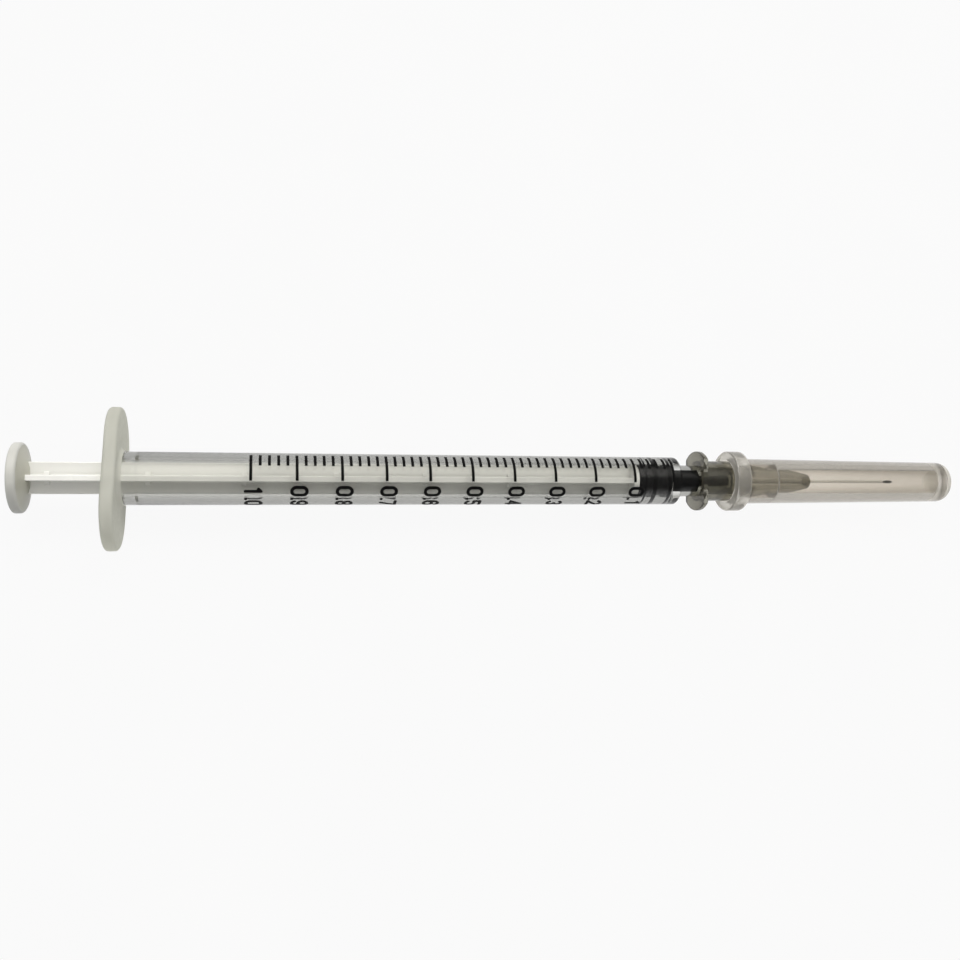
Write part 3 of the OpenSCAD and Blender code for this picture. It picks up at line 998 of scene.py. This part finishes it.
def make_cap():
    outline = [
        (BORE_TOP, 0.0),
        (BORE_DOME, BORE_DOME_R, 0.4),
        (NARROW_END, NARROW_END_R, 0.4),
        (NARROW, NARROW_R, 0.1),
        (NARROWS, CAP_BORE_R, 0.1),
        (BORE_STEP, CAP_BORE_R, 0.1),
        (MOUTH_STEP, CAP_MOUTH_R, 0.1),
        (CAP, CAP_MOUTH_R, 0.1),
        (CAP, COLLAR_R, 0.25),
        (CAP + COLLAR_T, COLLAR_R, 0.25),
        (CAP + COLLAR_T, CAP_R, 0.15),
        (CAP_END, CAP_END_R, 1.3),
        (CAP_END, 0.0),
    ]
    cap = turned("cap_moulding", rounded(outline, 6))
    dress(cap, CAP_PLASTIC, "cap", ["needle_cap"])
    finish_faces(cap, CAP_BORE, faces_axis)
    finish_faces(cap, CAP_TIP, lambda p: station(p) > CAP_TIP_LOOK)
    finish_faces(cap, CAP_COLLAR, lambda p: from_axis(p) > COLLAR_LOOK_R)


# Camera

# Station of the full-scale line
FULL_LINE = 15.35
# Where the photograph's camera sees the full-scale line's place on the axis, in mm
# to the right, down and ahead of the lens, and which way the axis runs from there
FULL = Vector((-28.74, -0.139, 114.85))
YAW = math.radians(12.83)
DROP = math.radians(0.26)
# How far round the syringe from its top the camera stands
SIDE = math.radians(21.3)
# The lens and the width of the sensor behind it, in mm
LENS = 34.28
SENSOR = 36.0
# The camera's near and far limits, in metres
NEAR = 0.005
FAR = 10.0


def make_camera():
    along = Vector(
        (math.cos(YAW) * math.cos(DROP), math.sin(DROP), math.sin(YAW) * math.cos(DROP))
    )
    origin = FULL + along * (MID - FULL_LINE)
    to_lens = (-origin - along * (-origin).dot(along)).normalized()
    across = along.cross(to_lens)
    up = to_lens * math.cos(SIDE) - across * math.sin(SIDE)
    left = -to_lens * math.sin(SIDE) - across * math.cos(SIDE)
    axes = (along, left, up)
    camera = bpy.data.objects.new("camera", bpy.data.cameras.new("camera"))
    bpy.context.scene.collection.objects.link(camera)
    camera.data.lens = LENS
    camera.data.sensor_width = SENSOR
    camera.data.clip_start = NEAR
    camera.data.clip_end = FAR
    turned_to = Matrix([[e[0], -e[1], -e[2]] for e in axes]).to_4x4()
    place = Matrix.Translation(Vector([-origin.dot(e) * MM for e in axes]))
    camera.matrix_world = place @ turned_to
    bpy.context.scene.camera = camera


# Floor, lamps and world, in metres

# Just under the flange's flat side
FLOOR = -5.2 * MM
FLOOR_HALF = 3
# How much of the floor, where it is seen, is plain white. The rest keeps the shadow.
FLOOR_WHITE = 0.93
# Each lamp's name, place, aim, size, watts and colour
LAMPS = (
    ("key", (0.06, 0.23, 0.33), (0.0, 0, 0), (0.4, 0.1), 1.3, (1.0, 0.985, 0.96)),
    ("fill", (0.0, -0.24, 0.32), (0.0, 0, 0), (0.45, 0.06), 0.4, (1.0, 0.99, 0.97)),
    ("window", (-0.4, 0.02, 0.12), (-0.04, 0, 0), (0.12, 0.12), 0.25, (0.93, 0.97, 1.0)),
)
# The direction in which the sky is brightest, up and to the back
SKY_TOP = (0.0, 0.4, 0.917)
SKY_STRENGTH = 2.0


def make_floor():
    """White paper, which camera, glossy and transmission rays see as nearly plain white."""
    bm = bmesh.new()
    corners = []
    for x, y in ((-1, -1), (1, -1), (1, 1), (-1, 1)):
        corners.append(bm.verts.new((x * FLOOR_HALF, y * FLOOR_HALF, FLOOR)))
    bm.faces.new(corners)
    floor = finished("floor", bm)
    material = bpy.data.materials.new("floor_paper")
    m = Nodes(material, "OutputMaterial")
    paper = m.add("BsdfDiffuse")
    tone = m.ramp(m.noise(0.05), rgb(0.3, 0.3, 0.3), rgb(0.34, 0.34, 0.34))
    m.join(tone, paper.inputs["Color"])
    white = m.add("Emission")
    white.inputs["Strength"].default_value = 1.0
    ray = m.add("LightPath")
    gloss = m.add("Math", operation="MAXIMUM")
    seen = m.add("Math", operation="MAXIMUM")
    share = m.add("Math", operation="MULTIPLY")
    share.inputs[1].default_value = FLOOR_WHITE
    m.join(ray.outputs["Is Camera Ray"], gloss.inputs[0])
    m.join(ray.outputs["Is Glossy Ray"], gloss.inputs[1])
    m.join(gloss.outputs[0], seen.inputs[0])
    m.join(ray.outputs["Is Transmission Ray"], seen.inputs[1])
    m.join(seen.outputs[0], share.inputs[0])
    m.close(m.mix(share.outputs[0], paper, white))
    floor.data.materials.append(material)


def make_lamp(name, place, aim, size, watts, colour):
    """A rectangular lamp that lights the object but shows in none of its surfaces."""
    data = bpy.data.lights.new(name, "AREA")
    data.shape = "RECTANGLE"
    data.size, data.size_y = size
    data.energy = watts
    data.color = colour
    o = bpy.data.objects.new(name, data)
    bpy.context.scene.collection.objects.link(o)
    o.location = place
    o.rotation_mode = "QUATERNION"
    o.rotation_quaternion = (Vector(aim) - Vector(place)).to_track_quat("-Z", "Y")
    o.visible_glossy = False
    o.visible_transmission = False


def make_world():
    """Brighter from above and behind, dimmer from the front, with a pale backdrop
    round the horizon."""
    world = bpy.data.worlds.new("studio")
    bpy.context.scene.world = world
    w = Nodes(world, "OutputWorld")
    place = w.add("TexCoord")
    facing = w.add("VectorMath", operation="DOT_PRODUCT")
    facing.inputs[1].default_value = SKY_TOP
    # Brings the dot product, from -1 to 1, to the ramp's range from 0 to 1
    half = w.add("Math", operation="MULTIPLY_ADD")
    half.inputs[1].default_value = 0.5
    half.inputs[2].default_value = 0.5
    sky = w.add("ValToRGB")
    set_ramp(
        sky.color_ramp.elements,
        [(0.5, 0.04), (1.0, rgb(1.0, 0.98, 0.94)), (0.87, 0.06), (0.95, rgb(0.5, 0.49, 0.47))],
    )
    height = w.add("SeparateXYZ")
    wall = w.add("ValToRGB")
    set_ramp(wall.color_ramp.elements, [(0.15, 0.25), (0.45, 0.0)])
    soft = w.add("Background")
    soft.inputs["Strength"].default_value = SKY_STRENGTH
    w.join(place.outputs["Generated"], facing.inputs[0])
    w.join(facing.outputs["Value"], half.inputs[0])
    w.join(half.outputs[0], sky.inputs["Fac"])
    w.join(place.outputs["Generated"], height.inputs[0])
    w.join(height.outputs["Z"], wall.inputs["Fac"])
    tone = w.blend("LIGHTEN", sky.outputs["Color"], wall.outputs["Color"])
    w.join(tone, soft.inputs["Color"])
    w.close(soft)


# The whole scene

make_barrel()
ink_scale()
make_rod()
make_piston()
make_hub()
make_needle()
make_adhesive()
make_cap()
make_camera()
make_floor()
for values in LAMPS:
    make_lamp(*values)
make_world()
bpy.context.scene.view_settings.view_transform = "Standard"
